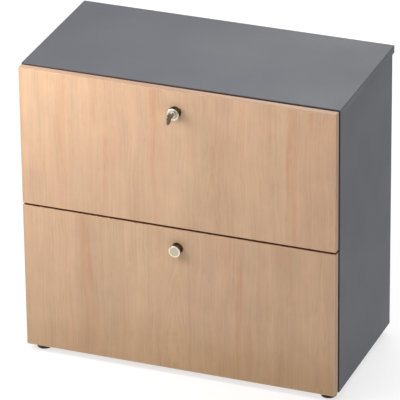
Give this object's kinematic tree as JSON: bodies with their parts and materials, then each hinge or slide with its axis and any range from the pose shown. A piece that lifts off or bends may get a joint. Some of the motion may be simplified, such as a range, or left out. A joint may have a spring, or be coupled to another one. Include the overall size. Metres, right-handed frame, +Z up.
{
  "type": "lateral filing cabinet",
  "caption": "Low wide office filing cabinet with stacked file drawers, wood-look fronts on a grey carcass, round knobs, a keyed lock and levelling feet.",
  "frame": {"origin": "on the floor, at the middle of the overall width and depth (key and knobs included)", "axes": "+X to the right seen from the front, +Y towards the back, +Z up; the drawers open towards -Y"},
  "size_m": [0.8, 0.47, 0.762],
  "materials": {
    "beech_decor": "satin",
    "beech_edge_strip": "satin",
    "grey_board": "matte",
    "grey_edge_strip": "matte",
    "grey_back_board": "matte",
    "dowel_wood": "matte",
    "zinc_fitting": "satin",
    "zinc_plated_steel": "satin",
    "bearing_steel": "polished",
    "grey_painted_steel": "satin",
    "satin_nickel": "satin",
    "black_plastic": "matte",
    "white_plastic": "satin",
    "grey_plastic": "satin",
    "clear_rubber": "satin",
    "nickel_key": "polished"
  },
  "bodies": {
    "carcass": {"top_panel": "grey_board", "top_panel_edging": "grey_edge_strip", "left_side_panel": "grey_board", "right_side_panel": "grey_board", "bottom_panel": "grey_board", "carcass_edging": "grey_edge_strip", "back_panel": "grey_back_board", "cam_fittings": "zinc_fitting", "connecting_bolts": "zinc_plated_steel", "wooden_dowels": "dowel_wood", "carcass_screws": "zinc_plated_steel", "foot_sockets": "zinc_plated_steel", "front_bumpers": "clear_rubber", "lock_gear_guides": "grey_plastic", "crank_bracket": "zinc_plated_steel", "upper_runner_outer_rails": "zinc_plated_steel", "lower_runner_outer_rails": "zinc_plated_steel"},
    "foot_front_left": {"foot_front_left": "black_plastic"},
    "foot_front_right": {"foot_front_right": "black_plastic"},
    "foot_rear_left": {"foot_rear_left": "black_plastic"},
    "foot_rear_right": {"foot_rear_right": "black_plastic"},
    "upper_drawer": {"upper_front_panel": "beech_decor", "upper_front_edging": "beech_edge_strip", "upper_drawer_side_walls": "grey_painted_steel", "upper_drawer_end_walls": "grey_painted_steel", "upper_drawer_floor": "grey_painted_steel", "upper_centre_rail": "grey_painted_steel", "upper_file_rails": "white_plastic", "upper_drawer_screws": "zinc_plated_steel", "upper_catch": "grey_plastic", "upper_runner_inner_rails": "zinc_plated_steel", "lock_housing": "satin_nickel", "lock_nut": "zinc_plated_steel"},
    "upper_middle_rails": {"upper_runner_middle_rails": "zinc_plated_steel"},
    "upper_outer_cages": {"upper_outer_ball_cages": "bearing_steel"},
    "upper_inner_cages": {"upper_inner_ball_cages": "bearing_steel"},
    "lower_drawer": {"lower_front_panel": "beech_decor", "lower_front_edging": "beech_edge_strip", "lower_drawer_side_walls": "grey_painted_steel", "lower_drawer_end_walls": "grey_painted_steel", "lower_drawer_floor": "grey_painted_steel", "lower_centre_rail": "grey_painted_steel", "lower_file_rails": "white_plastic", "lower_drawer_screws": "zinc_plated_steel", "lower_catch": "grey_plastic", "lower_runner_inner_rails": "zinc_plated_steel", "lower_knob": "satin_nickel", "knob_screw": "zinc_plated_steel"},
    "lower_middle_rails": {"lower_runner_middle_rails": "zinc_plated_steel"},
    "lower_outer_cages": {"lower_outer_ball_cages": "bearing_steel"},
    "lower_inner_cages": {"lower_inner_ball_cages": "bearing_steel"},
    "plug": {"lock_plug": "satin_nickel", "lock_cam": "zinc_plated_steel", "cam_screw": "zinc_plated_steel", "key": "nickel_key"},
    "cross_bar": {"cross_bar": "zinc_plated_steel"},
    "bell_crank": {"bell_crank": "zinc_plated_steel"},
    "lock_bar": {"lock_bar": "zinc_plated_steel", "lock_bar_pins": "zinc_plated_steel"}
  },
  "joints": [
    {"name": "foot_front_left_height", "type": "slide", "parent": "carcass", "child": "foot_front_left", "axis": [0, 0, -1], "range_m": [0, 0.012]},
    {"name": "foot_front_right_height", "type": "slide", "parent": "carcass", "child": "foot_front_right", "axis": [0, 0, -1], "range_m": [0, 0.012]},
    {"name": "foot_rear_left_height", "type": "slide", "parent": "carcass", "child": "foot_rear_left", "axis": [0, 0, -1], "range_m": [0, 0.012]},
    {"name": "foot_rear_right_height", "type": "slide", "parent": "carcass", "child": "foot_rear_right", "axis": [0, 0, -1], "range_m": [0, 0.012]},
    {"name": "upper_drawer_slide", "type": "slide", "parent": "carcass", "child": "upper_drawer", "axis": [0, -1, 0], "range_m": [0, 0.345]},
    {"name": "upper_middle_rails_slide", "type": "slide", "parent": "carcass", "child": "upper_middle_rails", "axis": [0, -1, 0], "range_m": [0, 0.1745]},
    {"name": "upper_outer_cages_slide", "type": "slide", "parent": "carcass", "child": "upper_outer_cages", "axis": [0, -1, 0], "range_m": [0, 0.08825]},
    {"name": "upper_inner_cages_slide", "type": "slide", "parent": "carcass", "child": "upper_inner_cages", "axis": [0, -1, 0], "range_m": [0, 0.26075]},
    {"name": "lower_drawer_slide", "type": "slide", "parent": "carcass", "child": "lower_drawer", "axis": [0, -1, 0], "range_m": [0, 0.345]},
    {"name": "lower_middle_rails_slide", "type": "slide", "parent": "carcass", "child": "lower_middle_rails", "axis": [0, -1, 0], "range_m": [0, 0.1745]},
    {"name": "lower_outer_cages_slide", "type": "slide", "parent": "carcass", "child": "lower_outer_cages", "axis": [0, -1, 0], "range_m": [0, 0.08825]},
    {"name": "lower_inner_cages_slide", "type": "slide", "parent": "carcass", "child": "lower_inner_cages", "axis": [0, -1, 0], "range_m": [0, 0.26075]},
    {"name": "plug_turn", "type": "hinge", "parent": "upper_drawer", "child": "plug", "pos_m": [0, -0.18, 0.706], "axis": [0, 1, 0], "range_deg": [0, 90.3]},
    {"name": "cross_bar_slide", "type": "slide", "parent": "carcass", "child": "cross_bar", "axis": [1, 0, 0], "range_m": [0, 0.01]},
    {"name": "crank_turn", "type": "hinge", "parent": "carcass", "child": "bell_crank", "pos_m": [0.362, -0.13975, 0.73], "axis": [0, -1, 0], "range_deg": [0, 26.98]},
    {"name": "lock_bar_lift", "type": "slide", "parent": "carcass", "child": "lock_bar", "axis": [0, 0, 1], "range_m": [0, 0.0099]}
  ],
  "couplings": [
    {"joint": "upper_middle_rails_slide", "follows": "upper_drawer_slide", "ratio": 0.5},
    {"joint": "upper_outer_cages_slide", "follows": "upper_drawer_slide", "ratio": 0.25},
    {"joint": "upper_inner_cages_slide", "follows": "upper_drawer_slide", "ratio": 0.75},
    {"joint": "lower_middle_rails_slide", "follows": "lower_drawer_slide", "ratio": 0.5},
    {"joint": "lower_outer_cages_slide", "follows": "lower_drawer_slide", "ratio": 0.25},
    {"joint": "lower_inner_cages_slide", "follows": "lower_drawer_slide", "ratio": 0.75},
    {"joint": "plug_turn", "follows": "lock_bar_lift", "rad_per_m": 158.67},
    {"joint": "cross_bar_slide", "follows": "lock_bar_lift", "ratio": 1},
    {"joint": "crank_turn", "follows": "lock_bar_lift", "rad_per_m": 47.382}
  ]
}
